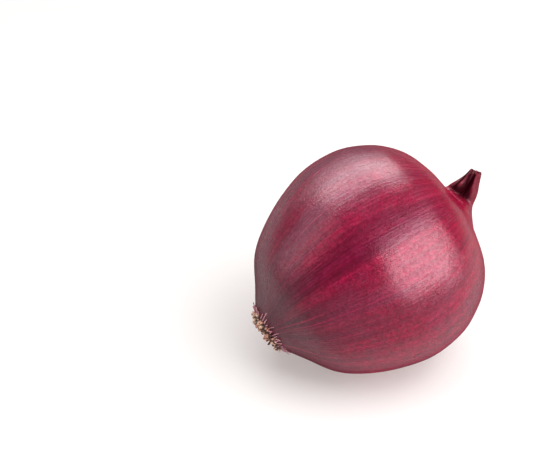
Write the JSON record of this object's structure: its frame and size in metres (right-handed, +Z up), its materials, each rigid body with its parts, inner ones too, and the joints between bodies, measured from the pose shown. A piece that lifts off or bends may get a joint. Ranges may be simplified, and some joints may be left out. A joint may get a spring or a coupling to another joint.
{
  "type": "red onion",
  "caption": "Whole dry red onion with its papery skin, pinched dry neck and clipped root crown, lying on its side on a small flat spot.",
  "frame": {"origin": "middle of the small flat spot that the onion rests on", "axes": "+Z up; +X along the floor towards the neck, under the onion's own axis, which rises 24.5 degrees from +X to +Z; the root end is at -X; +Y across"},
  "size_m": [0.088, 0.0802, 0.0793],
  "materials": {
    "onion_skin": "satin, thin dry skin with fine lengthwise veins, matte and pleated at the neck",
    "dry_root": "matte, dry and fibrous"
  },
  "bodies": {
    "root": {"bulb": "onion_skin", "root_crown": "dry_root"}
  },
  "joints": []
}
